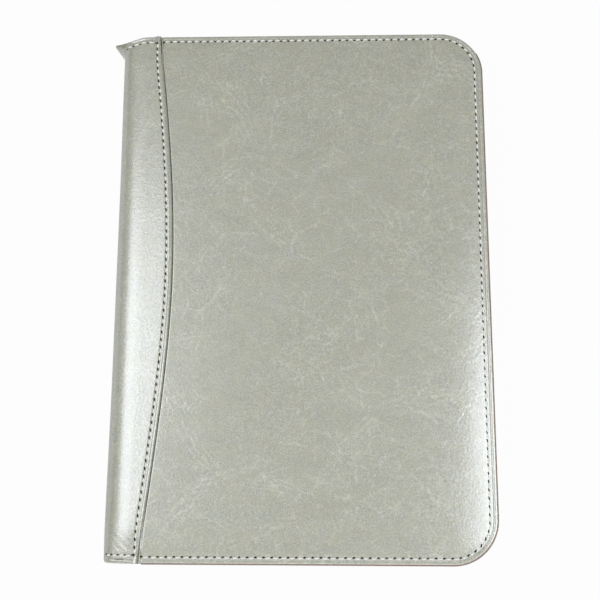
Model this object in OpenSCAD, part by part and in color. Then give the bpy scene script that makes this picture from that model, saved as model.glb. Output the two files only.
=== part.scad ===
// Loose-leaf ring binder for punched A5 pages, in a soft leather case.
// It lies closed on its back cover: X runs from the spine to the fore edge, Y towards the head, Z up.
// Inside the modules x is measured from the outer face of the spine; set_down() moves the
// finished piece so that the origin is the middle of the face that the binder rests on.

/* [Pages] */
// Width of a page, punched edge to fore edge
page_w = 148; // [120:1:180]
// Height of a page
page_h = 210; // [200:1:240]
// Thickness of the whole stack of paper
stack_t = 5; // [3:0.5:5.5]
// Thickness of the loose leaves on top of the stack
leaf_t = 0.6; // [0.4:0.1:1]
// Diameter of a punched hole
hole_d = 6; // [5.8:0.1:6.6]
// Punched edge to the centre of the holes
hole_edge = 6.5; // [5.5:0.1:8]
// Pitch of the three holes in a group
hole_pitch = 19.05; // [16:0.05:20]
// Distance between the inner holes of the two groups
group_gap = 70; // [50:1:76]

/* [Rings] */
// Inner diameter of a closed ring
ring_bore = 11; // [10:0.5:14]
// Diameter of the ring wire
wire_d = 2.6; // [2.2:0.1:2.8]
// Depth that the ring's bore dips below the crown of the housing
ring_sink = 2.4; // [2.3:0.1:2.6]
// Angle that each half ring swings from closed to open
ring_swing = 14; // [8:1:14]
// Diameter of the nub in the tip of a left half ring
nub_d = 1.4; // [1:0.1:1.6]
// Length of that nub
nub_len = 0.9; // [0.6:0.1:1.2]
// Diameter of the shank that rivets a half ring in its blade
shank_d = 1.8; // [1.4:0.1:2]

/* [Ring housing] */
// Width of the housing
housing_w = 15.2; // [14.8:0.1:18]
// Height of the housing above the back lining
housing_h = 5; // [4.9:0.1:6]
// Rise of the arched crown above the side walls
crown_rise = 1.9; // [1.5:0.1:2]
// Sheet thickness of the housing
plate_t = 0.8; // [0.6:0.1:0.9]
// Width of the lips turned in under the blades
lip_w = 1.2; // [0.8:0.1:1.6]
// Housing end beyond the lever pin
housing_end = 2.4; // [2:0.1:3]
// Half width of the gap in the crown between a pair of ring notches
notch_x = 2; // [1.6:0.1:2.1]

/* [Blades] */
// Thickness of a hinge blade
blade_t = 1; // [0.8:0.1:1]
// Height of the blades' outer edges above the back lining
pivot_h = 2.3; // [2.2:0.1:2.4]
// Gap between a blade's outer edge and the housing wall
pivot_gap = 0.3; // [0.2:0.05:0.5]
// Gap between the two blades when they lie level
blade_gap = 0.3; // [0.2:0.05:0.6]

/* [Levers] */
// Diameter of a lever pin
pin_d = 1.6; // [1.2:0.1:1.8]
// Height of the lever pins above the back lining
pin_h = 2; // [1.9:0.1:2.2]
// Lever pin beyond the outermost ring
pin_offset = 21.9; // [18:0.1:24]
// Wall of the lever round its pin
hub_wall = 0.65; // [0.5:0.05:0.7]
// Reach of the tongue under the blades
tongue_len = 3.4; // [3.2:0.1:3.6]
// Half width of the tongue
tongue_x = 1.5; // [1:0.1:1.8]
// Thickness of the tongue
tongue_t = 0.6; // [0.4:0.05:0.7]
// Gap from the tongue down to the back lining
tongue_gap = 0.2; // [0.1:0.05:0.3]
// Length of the thumb tab from the pin
tab_len = 12; // [9:0.5:14]
// Width of the thumb tab
tab_w = 10; // [7:0.5:11]
// Width of the tab's neck inside the housing
neck_w = 6; // [4:0.5:6]
// Thickness of the thumb tab
tab_t = 1; // [0.8:0.1:1.2]
// Upward tilt of the thumb tab while the rings are closed
tab_tilt = 12; // [8:1:13]

/* [Rivets] */
// Diameter of a housing rivet
rivet_d = 3.1; // [2.6:0.1:3.6]
// Diameter of a rivet's head and of its washer
rivet_head_d = 5.6; // [5:0.1:7]
// Height of a rivet's head above the crown
rivet_head_h = 0.5; // [0.4:0.05:0.8]
// Rivet beyond the outermost ring
rivet_offset = 9.9; // [8:0.1:11]
// Thickness of a washer let into the back board
washer_t = 0.5; // [0.3:0.1:0.8]

/* [Covers] */
// Thickness of the leather
leather_t = 1.1; // [0.9:0.1:1.4]
// Thickness of the boards
board_t = 1.5; // [1.2:0.1:2]
// Thickness of the linings
lining_t = 0.7; // [0.5:0.1:1]
// Cover beyond the pages at the head and at the tail
head_margin = 13.5; // [13:0.5:20]
// Cover beyond the pages at the fore edge
fore_margin = 4.1; // [3:0.1:12]
// Radius of the two corners at the fore edge
corner_r = 19; // [12:0.5:30]
// Width of the turned hem round a cover
hem_w = 5.5; // [4.5:0.1:8]
// Cover's edge to the edge of its lining
lining_inset = 1.6; // [1.4:0.1:3]
// Gap between the open rings and the front lining
ring_clear = 0.6; // [0.4:0.1:3]

/* [Spine] */
// Outer radius of the rounded spine
spine_r = 8.5; // [6:0.1:9]
// Gap between the open rings and the spine lining
spine_clear = 1.4; // [0.6:0.1:4]
// Thickness of the stiffener in the flat of the spine
stiffener_t = 0.6; // [0.4:0.1:0.8]
// Spine's outer face to the lapped edge at its widest
seam_mid = 26.7; // [22:0.1:36]
// Spine's outer face to the lapped edge at the tail
seam_end = 15.4; // [14:0.1:20]
// Widest place of the lapped edge above the middle of the cover
seam_shift = 8; // [0:0.5:15]
// Height that the lapped edge stands above the front cover
lap_rise = 0.8; // [0.3:0.1:0.8]
// Thickness left where the back cover's lap is pared down to lie flush
pared_t = 0.55; // [0.45:0.05:0.6]
// Extra thickness of the spine leather turned in at the head and the tail
turn_in_t = 0.5; // [0.3:0.05:0.6]
// How far the dog-ear at the head stands out from the spine
ear_out = 5; // [2:0.1:6]
// Height of the dog-ear along the spine
ear_len = 6.6; // [4:0.1:10]
// Tip of the dog-ear below the head of the cover
ear_drop = 0.4; // [0.2:0.1:2]

/* [Pockets] */
// Thickness of the pocket leather
pocket_t = 0.6; // [0.4:0.05:0.8]
// Spine's outer face to the mouth of the document pocket
pocket_mouth = 52; // [40:1:70]
// Cover's edge to the edge of the document pocket
pocket_inset = 2.4; // [2:0.1:4]
// Width of the card pockets
card_w = 92; // [88:1:94]
// Height of the lowest card pocket
card_h = 46; // [40:1:60]
// Step from one card pocket's mouth to the next
card_step = 13; // [8:1:18]
// Fore edge of the cover to the card pockets
card_inset = 11; // [8:1:16]

/* [Clearances] */
// Gap round a piece that is let into another
fit_gap = 0.1; // [0.05:0.01:0.15]
// Radial clearance of a lever on its pin
pin_clear = 0.05; // [0.03:0.01:0.08]
// Gap between a moving piece and the wall round it
run_gap = 0.5; // [0.4:0.05:0.6]
// Gap in the closed rings, and under the paper
tip_gap = 0.1; // [0.06:0.01:0.15]

/* [Hidden] */
$fn = 96;
// Facets of the long arc of the lapped edge
seam_fn = 1440;
// Overlap of cutting tools past the faces that they cut
cut = 1;
// Punched edge, hole and wire line up with this much play to the fore edge
hole_play = 0.1;

// Layers of a cover
hem_t = leather_t + board_t;
cover_t = hem_t + lining_t;
roll_r = hem_t / 2;

// Heights in the ring mechanism, which stands on the back lining
crown_z = cover_t + housing_h;
pivot_z = cover_t + pivot_h;
pin_z = cover_t + pin_h;
half_w = housing_w / 2;
wall_h = housing_h - crown_rise;
crown_r = (half_w * half_w + crown_rise * crown_rise) / (2 * crown_rise);
pivot_x = half_w - plate_t - pivot_gap - blade_t / 2;
blade_w = pivot_x - blade_gap / 2;
blade_tilt = ring_swing / 2;
ring_r = (ring_bore + wire_d) / 2;
ring_out = ring_r + wire_d / 2;
ring_z = crown_z + ring_bore / 2 - ring_sink;

// Half rings swing about the outer edges of their blades
ring_arm = ring_z - pivot_z;
open_reach = pivot_x - (pivot_x * cos(ring_swing) - ring_arm * sin(ring_swing)) + ring_out;
open_top = pivot_z + (ring_arm + ring_out) * cos(ring_swing) + pivot_x * sin(ring_swing);

// Spine, covers and the whole case
lining_face = leather_t + stiffener_t + fit_gap / 2;
ring_x = lining_face + lining_t + spine_clear + open_reach;
front_z = open_top + ring_clear + cover_t;
case_t = front_z + lap_rise;
page_x = ring_x + ring_r + hole_play - hole_edge;
cover_w = page_x + page_w + fore_margin;
cover_h = page_h + 2 * head_margin;
cover_x = spine_r + fit_gap;
seam_bow = seam_mid - seam_end;
seam_tail = cover_h / 2 + seam_shift;
seam_r = (seam_tail * seam_tail + seam_bow * seam_bow) / (2 * seam_bow);
spine_flat = case_t - 2 * spine_r;

// Places along the height of the binder
ring_ys = [for (side = [-1, 1], i = [0:2]) side * (group_gap / 2 + i * hole_pitch)];
last_ring = group_gap / 2 + 2 * hole_pitch;
pin_y = last_ring + pin_offset;
rivet_y = last_ring + rivet_offset;
housing_y = pin_y + housing_end;
hub_r = pin_d / 2 + pin_clear + hub_wall;
blade_y = pin_y - hub_r - run_gap;

// The stack leans: it rests on the rivet heads at the rings and on the lining at the fore edge
stack_rise = housing_h + rivet_head_h;
page_tilt = asin(stack_rise / page_w);
block_t = stack_t - leaf_t - tip_gap;

// Puts the middle of the resting face at the origin
module set_down() {
    translate([-cover_w / 2, 0, 0]) children();
}

// Outline of a cover, square at the spine and round at the fore edge
module cover_outline(x0, inset) {
    r = corner_r - inset;
    x1 = cover_w - inset;
    y1 = cover_h / 2 - inset;
    difference() {
        translate([x0, -y1]) square([x1 - x0, 2 * y1]);
        for (side = [-1, 1]) difference() {
            translate([x1 - r, side > 0 ? y1 - r : -y1 - cut]) square([r + cut, r + cut]);
            translate([x1 - r, side * (y1 - r)]) circle(r);
        }
    }
}

// Half-round section of the rolled hem, from its own inner line outwards
module roll_section() {
    polygon([for (a = [-90:22.5:90]) [roll_r * cos(a), roll_r + roll_r * sin(a)]]);
}

// Rolled edge along the head, the fore edge and the tail of a cover
module rolled_edge() {
    run_x = cover_w - corner_r - cover_x;
    run_y = cover_h - 2 * corner_r;
    edge_y = cover_h / 2 - roll_r;
    translate([cover_w - roll_r, run_y / 2, 0])
        rotate([90, 0, 0]) linear_extrude(run_y) roll_section();
    translate([cover_x, edge_y, 0])
        rotate([0, 0, 90]) rotate([90, 0, 0]) linear_extrude(run_x) roll_section();
    translate([cover_x + run_x, -edge_y, 0])
        rotate([0, 0, -90]) rotate([90, 0, 0]) linear_extrude(run_x) roll_section();
    for (side = [-1, 1])
        translate([cover_w - corner_r, side * run_y / 2, 0])
            rotate([0, 0, side > 0 ? 0 : -90])
                rotate_extrude(angle = 90) translate([corner_r - roll_r, 0]) roll_section();
}

// Skin of one cover, outer face down, with a bed for its board inside the turned hem
module cover_skin() {
    difference() {
        union() {
            linear_extrude(hem_t) cover_outline(cover_x, roll_r);
            rolled_edge();
        }
        translate([0, 0, leather_t]) linear_extrude(board_t + cut) cover_outline(cover_x - cut, hem_w);
    }
}

// Outline of the spine leather's lap on a cover, out to its bowed edge
module lap_outline(gap = 0, ends = 0) {
    intersection() {
        translate([spine_r, -cover_h / 2 - ends]) square([seam_mid + gap, cover_h + 2 * ends]);
        translate([seam_mid - seam_r, seam_shift]) circle(seam_r + gap, $fn = seam_fn);
    }
}

// Layer of the spine: two quarter rounds and the flat between them
module spine_shell(inset, thick, y0, y1) {
    for (start = [90, 180])
        translate([spine_r, y0, start == 90 ? spine_r : case_t - spine_r])
            rotate([-90, 0, 0])
                rotate_extrude(angle = 90, start = start)
                    translate([spine_r - inset - thick, 0]) square([thick, y1 - y0]);
    translate([inset, y0, spine_r]) cube([thick, y1 - y0, spine_flat]);
}

module back_leather() {
    color("silver") set_down() difference() {
        cover_skin();
        translate([0, 0, -cut]) linear_extrude(cut + pared_t) lap_outline(fit_gap, cut);
    }
}

module back_board() {
    color("tan") set_down() difference() {
        translate([0, 0, leather_t]) linear_extrude(board_t) cover_outline(cover_x, hem_w + fit_gap);
        for (side = [-1, 1]) translate([ring_x, side * rivet_y, 0]) {
            cylinder(d = rivet_d + fit_gap, h = cover_t);
            cylinder(d = rivet_head_d + fit_gap, h = leather_t + washer_t);
        }
    }
}

module back_lining() {
    color("dimgray") set_down() difference() {
        translate([0, 0, hem_t]) linear_extrude(lining_t) cover_outline(cover_x, lining_inset);
        for (side = [-1, 1])
            translate([ring_x, side * rivet_y, 0]) cylinder(d = rivet_d + fit_gap, h = cover_t + cut);
    }
}

module spine_leather() {
    color("silver") set_down() {
        spine_shell(0, leather_t, -cover_h / 2, cover_h / 2);
        for (y = [-cover_h / 2, cover_h / 2 - hem_w]) spine_shell(leather_t, turn_in_t, y, y + hem_w);
        translate([0, 0, case_t - leather_t]) linear_extrude(leather_t) lap_outline();
        linear_extrude(pared_t) lap_outline();
        dog_ear();
    }
}

// The stiff hem kinks into a point at the head of the spine
module dog_ear() {
    head = cover_h / 2;
    translate([0, 0, spine_r]) linear_extrude(spine_flat)
        polygon([[leather_t / 2, head - ear_len], [-ear_out, head - ear_drop], [leather_t / 2, head]]);
}

module spine_stiffener() {
    y1 = cover_h / 2 - hem_w - fit_gap;
    color("tan") set_down()
        translate([leather_t, -y1, spine_r]) cube([stiffener_t, 2 * y1, spine_flat]);
}

module spine_lining() {
    y1 = cover_h / 2 - lining_inset;
    color("dimgray") set_down() spine_shell(lining_face, lining_t, -y1, y1);
}

module front_leather() {
    color("silver") set_down() difference() {
        translate([0, 0, front_z]) mirror([0, 0, 1]) cover_skin();
        translate([0, 0, case_t - leather_t]) linear_extrude(leather_t + cut) lap_outline(fit_gap, cut);
    }
}

module front_board() {
    color("tan") set_down()
        translate([0, 0, front_z - hem_t]) linear_extrude(board_t) cover_outline(cover_x, hem_w + fit_gap);
}

module front_lining() {
    color("dimgray") set_down()
        translate([0, 0, front_z - cover_t]) linear_extrude(lining_t) cover_outline(cover_x, lining_inset);
}

module document_pocket() {
    color("gray") set_down()
        translate([0, 0, front_z - cover_t - pocket_t])
            linear_extrude(pocket_t) cover_outline(pocket_mouth, pocket_inset);
}

// One card slot: layer 1 lies on the document pocket and reaches highest
module card_pocket(layer) {
    x0 = cover_w - card_inset - card_w;
    y0 = -cover_h / 2 + hem_w + corner_r / 2;
    translate([x0, y0, front_z - cover_t - pocket_t * (layer + 1)])
        cube([card_w, card_h + (3 - layer) * card_step, pocket_t]);
}

module card_pocket_upper() {
    color("gray") set_down() card_pocket(1);
}

module card_pocket_middle() {
    color("gray") set_down() card_pocket(2);
}

module card_pocket_lower() {
    color("gray") set_down() card_pocket(3);
}

// Section of the housing in the XZ plane, inset from its outer face
module housing_section(inset) {
    w = half_w - inset;
    intersection() {
        translate([-w, 0]) square([2 * w, housing_h]);
        translate([0, housing_h - crown_r]) circle(crown_r - inset);
    }
}

// Arched plate with side walls, in-turned lips and a notch for each half ring
module ring_housing() {
    notch_w = wire_d + 2 * run_gap;
    notch_z = wall_h - plate_t / 2;
    lip_x = half_w - plate_t - lip_w;
    color("gainsboro") set_down() translate([ring_x, 0, cover_t]) difference() {
        rotate([90, 0, 0]) linear_extrude(2 * housing_y, center = true) difference() {
            housing_section(0);
            difference() {
                housing_section(plate_t);
                for (side = [-1, 1])
                    translate([side > 0 ? lip_x : -half_w, 0]) square([lip_w + plate_t, plate_t]);
            }
        }
        for (y = ring_ys, side = [-1, 1])
            translate([side > 0 ? notch_x : -notch_x - housing_w, y - notch_w / 2, notch_z])
                cube([housing_w, notch_w, housing_h]);
        for (side = [-1, 1]) {
            translate([0, side * rivet_y, 0]) cylinder(d = rivet_d + fit_gap, h = housing_h + cut);
            translate([-half_w - cut, side * pin_y, pin_h])
                rotate([0, 90, 0]) cylinder(d = pin_d + 2 * pin_clear, h = housing_w + 2 * cut);
        }
    }
}

// Low-domed rivets hold the housing to the back board
module housing_rivets() {
    head_r = rivet_head_d / 2;
    dome_r = (head_r * head_r + rivet_head_h * rivet_head_h) / (2 * rivet_head_h);
    color("silver") set_down() for (side = [-1, 1]) translate([ring_x, side * rivet_y, 0]) {
        translate([0, 0, leather_t]) cylinder(d = rivet_d, h = crown_z - leather_t);
        intersection() {
            translate([0, 0, crown_z + rivet_head_h - dome_r]) sphere(dome_r);
            translate([0, 0, crown_z]) cylinder(r = head_r + cut, h = rivet_head_h + cut);
        }
    }
}

module rivet_washers() {
    color("silver") set_down() for (side = [-1, 1])
        translate([ring_x, side * rivet_y, leather_t]) difference() {
            cylinder(d = rivet_head_d, h = washer_t);
            translate([0, 0, -cut]) cylinder(d = rivet_d + fit_gap, h = washer_t + 2 * cut);
        }
}

module lever_pins() {
    color("gray") set_down() for (side = [-1, 1])
        translate([ring_x - half_w, side * pin_y, pin_z])
            rotate([0, 90, 0]) cylinder(d = pin_d, h = housing_w);
}

// Frame of the left blade: origin at its outer edge, x towards the middle, tilted down while closed
module at_left_pivot() {
    translate([ring_x - pivot_x, 0, pivot_z]) rotate([0, blade_tilt, 0]) children();
}

// Mirrors a left piece to the right of the mechanism
module to_right() {
    translate([ring_x, 0, 0]) mirror([1, 0, 0]) translate([-ring_x, 0, 0]) children();
}

// Place of a half ring's shank along the blade
shank_x = pivot_x - ring_r * cos(asin((ring_arm - blade_t / 2) / ring_r)) - wire_d / 8;

module blade() {
    at_left_pivot() difference() {
        union() {
            translate([0, -blade_y, -blade_t / 2]) cube([blade_w, 2 * blade_y, blade_t]);
            translate([0, -blade_y, 0]) rotate([-90, 0, 0]) cylinder(d = blade_t, h = 2 * blade_y);
        }
        for (y = ring_ys)
            translate([shank_x, y, -blade_t]) cylinder(d = shank_d + fit_gap, h = 2 * blade_t);
        for (side = [-1, 1])
            translate([pivot_x, side * rivet_y, -blade_t])
                cylinder(d = rivet_d + 2 * run_gap, h = 2 * blade_t);
    }
}

module left_blade() {
    color("lightgray") set_down() blade();
}

module right_blade() {
    color("lightgray") set_down() to_right() blade();
}

// Half ring from its seat on the left blade to the top, with a shank riveted through the blade
module half_ring(y) {
    foot_angle = 75;
    head_t = blade_t / 2;
    difference() {
        translate([ring_x - tip_gap / 2, y, ring_z]) rotate([90, 0, 0])
            rotate_extrude(angle = 90 + foot_angle, start = 90) translate([ring_r, 0]) circle(d = wire_d);
        at_left_pivot() translate([-ring_bore, y - wire_d, blade_t / 2 - 2 * ring_bore])
            cube([3 * ring_bore, 2 * wire_d, 2 * ring_bore]);
    }
    at_left_pivot() translate([shank_x, y, -blade_t / 2 - head_t]) {
        cylinder(d = shank_d, h = blade_t + 2 * head_t);
        cylinder(d = wire_d, h = head_t);
    }
}

// Pointed nub, or its socket with a gap all round, on the axis of the ring's tip
module tip_nub(y, gap) {
    translate([ring_x - tip_gap / 2 - cut / 2, y, ring_z + ring_r]) rotate([0, 90, 0])
        cylinder(d1 = nub_d + 2 * gap, d2 = nub_d / 2 + 2 * gap, h = nub_len + gap + cut / 2);
}

module left_half_rings() {
    color("gainsboro") set_down() for (y = ring_ys) {
        half_ring(y);
        tip_nub(y, 0);
    }
}

module right_half_rings() {
    color("gainsboro") set_down() for (y = ring_ys) difference() {
        to_right() half_ring(y);
        tip_nub(y, 2 * tip_gap);
    }
}

// Lever in its own frame: pin along X, tongue towards the rings, thumb tab away from them
module lever() {
    tongue_z = tongue_gap - pin_h;
    tab_r = tab_w / 2;
    hub_w = neck_w - 2 * run_gap;
    difference() {
        union() {
            rotate([0, 90, 0]) cylinder(r = hub_r, h = hub_w, center = true);
            translate([-tongue_x, -tongue_len, tongue_z])
                cube([2 * tongue_x, tongue_len + hub_r / 2, tongue_t]);
            rotate([tab_tilt, 0, 0]) translate([0, 0, -tab_t / 4]) linear_extrude(tab_t) {
                translate([-neck_w / 2, hub_r / 4]) square([neck_w, tab_len - tab_r]);
                intersection() {
                    translate([0, tab_len - tab_r]) circle(tab_r);
                    translate([-tab_r, housing_end + run_gap]) square([tab_w, tab_len]);
                }
            }
        }
        rotate([0, 90, 0]) cylinder(d = pin_d + 2 * pin_clear, h = housing_w, center = true);
    }
}

module head_lever() {
    color("gainsboro") set_down() translate([ring_x, pin_y, pin_z]) lever();
}

module tail_lever() {
    color("gainsboro") set_down() translate([ring_x, -pin_y, pin_z]) mirror([0, 1, 0]) lever();
}

// Frame of the leaning stack: origin at the punched edge, under the lowest page
module on_stack() {
    translate([page_x + page_w, 0, cover_t + tip_gap]) rotate([0, page_tilt, 0])
        translate([-page_w, 0, 0]) children();
}

// Punched sheets from one height in the stack to another
module sheets(z0, thick) {
    on_stack() translate([0, 0, z0]) difference() {
        translate([0, -page_h / 2, 0]) cube([page_w, page_h, thick]);
        for (y = ring_ys) translate([hole_edge, y, -cut]) cylinder(d = hole_d, h = thick + 2 * cut);
    }
}

module page_block() {
    color("ivory") set_down() sheets(0, block_t);
}

module top_sheets() {
    color("ivory") set_down() sheets(block_t + tip_gap, leaf_t);
}

back_leather();
back_board();
back_lining();
spine_leather();
spine_stiffener();
spine_lining();
front_leather();
front_board();
front_lining();
document_pocket();
card_pocket_upper();
card_pocket_middle();
card_pocket_lower();
ring_housing();
housing_rivets();
rivet_washers();
lever_pins();
left_blade();
left_half_rings();
right_blade();
right_half_rings();
head_lever();
tail_lever();
page_block();
top_sheets();
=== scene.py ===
import math

import bmesh
import bpy
import numpy as np
from mathutils import Matrix, Vector
from mathutils.geometry import tessellate_polygon

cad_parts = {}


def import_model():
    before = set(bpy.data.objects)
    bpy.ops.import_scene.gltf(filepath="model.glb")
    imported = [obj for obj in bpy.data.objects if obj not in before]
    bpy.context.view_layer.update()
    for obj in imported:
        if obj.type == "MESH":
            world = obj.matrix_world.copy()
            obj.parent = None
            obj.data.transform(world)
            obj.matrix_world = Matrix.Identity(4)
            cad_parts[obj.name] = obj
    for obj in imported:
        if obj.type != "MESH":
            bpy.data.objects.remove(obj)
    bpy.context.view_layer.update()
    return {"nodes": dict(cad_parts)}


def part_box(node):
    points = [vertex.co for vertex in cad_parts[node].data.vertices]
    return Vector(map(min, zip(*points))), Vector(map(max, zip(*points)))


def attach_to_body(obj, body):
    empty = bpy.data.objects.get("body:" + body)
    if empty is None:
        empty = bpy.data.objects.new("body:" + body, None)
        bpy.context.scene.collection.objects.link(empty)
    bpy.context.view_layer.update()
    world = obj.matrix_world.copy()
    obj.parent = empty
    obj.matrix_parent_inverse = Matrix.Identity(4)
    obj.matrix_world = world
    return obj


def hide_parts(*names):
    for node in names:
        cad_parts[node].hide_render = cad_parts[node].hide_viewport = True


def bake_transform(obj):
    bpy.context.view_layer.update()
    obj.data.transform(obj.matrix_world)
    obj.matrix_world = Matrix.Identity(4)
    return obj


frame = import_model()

MM = 0.001


def node_box(node):
    """Lowest and highest corners of a CAD node at rest."""
    return [np.array(corner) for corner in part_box(node)]


# Sizes read from the frame, in metres
front_lo, front_hi = node_box("front_leather")
pocket_lo, pocket_hi = node_box("document_pocket")
spine_hi = node_box("spine_leather")[1]
cover_x = float(front_lo[0])
fore = float(front_hi[0])
head = float(front_hi[1])
front_z = float(front_hi[2])
mid_z = float(spine_hi[2]) / 2
seam_mid = float(spine_hi[0])
hem_t = float(front_hi[2] - front_lo[2])
hem_roll = hem_t / 2

# Sheets: leather of the case, linings, and the pockets inside with their turned mouths
LEATHER_T = 1.1 * MM
LINING_T = 0.7 * MM
CORNER_R = 19 * MM
HEM_W = 5.5 * MM
LINING_INSET = 1.6 * MM
POCKET_INSET = 2.4 * MM
POCKET_MOUTH = 0.25 * MM
MOUTH_W = 6.5 * MM
MOUTH_STEP = 0.8 * MM
SHEET_VALLEY = 0.12 * MM
CARD_STEP = 13 * MM
CARD_EDGE = 0.3 * MM
CARD_EDGE_SHARE = 0.15
CARD_MOUTH = 0.16 * MM
CARD_MOUTH_W = 4 * MM
CARD_MOUTH_STEP = 0.6 * MM
CARD_POCKETS = ("card_pocket_upper", "card_pocket_middle", "card_pocket_lower")

# Hem: pillow of the padded cover, valley under the stitches, groove and bare lip of the rolled edge
PILLOW_DROP = 1.72 * MM
PILLOW_REACH = 9 * MM
HEM_VALLEY = 0.04 * MM
HEM_VALLEY_W = 0.55 * MM
GROOVE_INSET = 1.65 * MM
GROOVE_W = 0.28 * MM
GROOVE_DEPTH = 0.3 * MM
LIP_OUT = 0.4 * MM
BARE_FROM = 0.5 * MM
BARE_TURN = 0.5
WAVE_HEIGHT = 0.07 * MM
WAVE_FROM_EDGE = 12 * MM

# Stitches: where the rows lie, how far threads and needle pits lie aside of them, and how they slant
STITCH_INSET = 3.5 * MM
STITCH_PITCH = 3.4 * MM
SEAM_STITCH = 2.4 * MM
SEAM_PITCH = 3.23 * MM
POCKET_STITCH = 2.2 * MM
POCKET_PITCH = 3 * MM
END_SHIFT = 0.75 * MM
ROW_CLEAR = 0.4 * MM
HEM_ROW_CLEAR = 0.8 * MM
HEM_STITCH_FROM = 7.5 * MM
STITCH_ASIDE = {"threads": -0.12 * MM, "holes": 0.22 * MM}
THREAD_SLANT = math.radians(6)
HOLE_SLANT = math.radians(16)

# One stitch and one needle pit
THREAD_R = 0.37 * MM
THREAD_GAP = 1.35 * MM
THREAD_ARCH = 0.34 * MM
THREAD_SINK = 0.16 * MM
THREAD_TIP = 0.05 * MM
THREAD_THIN = 0.35
THREAD_FLAT = 0.8
HOLE_HALF = 0.7 * MM
HOLE_WIDE = 0.44 * MM
HOLE_PULL = 0.4
HOLE_CROWN = 0.8
HOLE_BOTTOM, HOLE_RIM = -0.14 * MM, -0.1 * MM
HOLE_SHOULDER, HOLE_TOP = 0.06 * MM, 0.08 * MM

# Bowed edge of the spine panel: straight towards both ends, rounded at its widest place,
# set upright at the hems
SEAM_SHIFT = 8 * MM
SEAM_SLOPE = 0.152
SEAM_ROUND = 75 * MM
SEAM_SET = 1.0 * MM
SEAM_SET_LEN = 16 * MM

# By side, 1 for the front, which looks up, and -1 for the back: rise of the spine leather's lapped edge,
# and how far the cover is let down beside it
LAP_LIFT = {1: 0.3 * MM, -1: 0.0}
LAP_DIP = {1: 0.0, -1: 0.4 * MM}

# Lap of the panel over a cover: its rolled edge, the valley under its stitches, its fall towards the spine,
# and how the cover sinks below it and in a groove beside it
LAP_SWELL_AT = 1.5 * MM
LAP_SWELL_W = 0.8 * MM
LAP_ROLL = 0.65 * MM
LAP_DROP = 0.95 * MM
VALLEY_DEPTH = 0.2 * MM
VALLEY_W = 0.45 * MM
LAP_FALL = 0.075
LAP_FALL_FROM = 1 * MM
LAP_FALL_END = 25 * MM
LAP_SINK = 1.0 * MM
LAP_SINK_FROM = 0.3 * MM
LAP_SINK_LEN = 0.9 * MM
SEAM_GAP = 1.0 * MM
SEAM_GAP_AT = 0.12 * MM
SEAM_GAP_W = 0.26 * MM
LEAST_GAP = 0.1 * MM
LEAST_LEATHER = 0.05 * MM
DIP_REACH = 3 * MM

# Sections of the soft spine, from its middle to the flat of a cover: reach and powers of a superellipse.
# The upper half is round; the lower half is squarer, because the ring mechanism stands in it.
SPINE_SHAPE = {1: (12.6 * MM, 2.0, 2.55), -1: (11 * MM, 2.4, 3.0)}
SPINE_ROUND = 10.9 * MM
LINING_ROUND = 9.4 * MM
SPINE_HEM_T = hem_t - 0.3 * MM
SPINE_HEM_STEP = 0.8 * MM
SPINE_HEM_LEAST = 0.15
SPINE_HEM_RISE = 7 * MM
spine_x = float(node_box("spine_stiffener")[0][0]) - LEATHER_T

# Dog-ear at the head of the spine, and the hem drawn in beside it
EAR_OUT = 5.6 * MM
EAR_LEN = 7.3 * MM
EAR_Z = 16.0 * MM
EAR_TILT = 0.7
EAR_HALF = 5.0 * MM
EAR_POINT = 1.4
HEAD_PULL = 1.2 * MM
HEAD_PULL_LEN = 30 * MM
HEAD_PULL_W = 12 * MM

# The spine stands out a little towards both ends, dips at the tail and puckers beside the seam there
UPPER_RISE = 6 * MM
FLARE = 0.4 * MM
FLARE_FROM = 40 * MM
FLARE_LEN = 70 * MM
FLARE_W = 10 * MM
TAIL_DIP = 0.35 * MM
TAIL_DIP_FROM = 15 * MM
TAIL_DIP_LEN = 10 * MM
TAIL_DIP_W = 22 * MM
TAIL_DIP_EDGE = 8 * MM
PUCKER_DEPTH = 0.035 * MM
PUCKER_WAVE = 2.6 * MM
PUCKER_TURN = (0.66, 0.75)
PUCKER_AT = (11 * MM, 9 * MM)
PUCKER_SIZE = (5 * MM, 6 * MM)

# Spacing of points along a cover's outline, across the seam beside it and across the lapped edge
OUTLINE_STEP = 0.45 * MM
LEG_POINTS = int((fore - CORNER_R - seam_mid) / OUTLINE_STEP)
ARC_POINTS = int(math.pi / 2 * CORNER_R / OUTLINE_STEP)
SIDE_POINTS = int(2 * (head - CORNER_R) / OUTLINE_STEP)
UNDER_POINTS = 9
LEAST_CORNER = 0.5 * MM
SEAM_STEPS = np.array([-1.5, -1.1, -0.8, -0.55, -0.35, -0.2, -0.05,
                       0.1, 0.22, 0.34, 0.46, 0.6, 0.8, 1.1, 1.5]) * MM
EDGE_STEPS = np.array([3.6, 3.2, 2.95, 2.7, 2.45, 2.2, 1.9, 1.6,
                       1.3, 1.0, 0.75, 0.5, 0.3, 0.15, 0.05, 0.0]) * MM
JOIN_DIST = 0.002 * MM
LEAST_EDGE = 0.0001 * MM


# Curves

def smoothstep(t):
    t = np.clip(t, 0, 1)
    return t * t * (3 - 2 * t)


def ramp(value, start, length):
    """Smooth rise from 0 at start to 1 a length further on."""
    return smoothstep((value - start) / length)


def bell(x, centre, width):
    return np.exp(-((x - centre) / width) ** 2)


def quarter_round(t):
    """Height of a quarter circle: 0 at t = 0, and 1 from t = 1 on."""
    return np.sqrt(1 - (1 - np.clip(t, 0, 1)) ** 2)


def unit(vectors):
    return vectors / np.linalg.norm(vectors, axis=1)[:, None]


def arc_length(points):
    """Length along a polyline at each of its points."""
    return np.concatenate([[0], np.cumsum(np.linalg.norm(np.diff(points, axis=0), axis=1))])


def at_lengths(values, length, at):
    """Rows of values that are known at lengths along a line, found at other lengths along it."""
    return np.stack([np.interp(at, length, column) for column in values.T], -1)


# Mesh helpers

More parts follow.
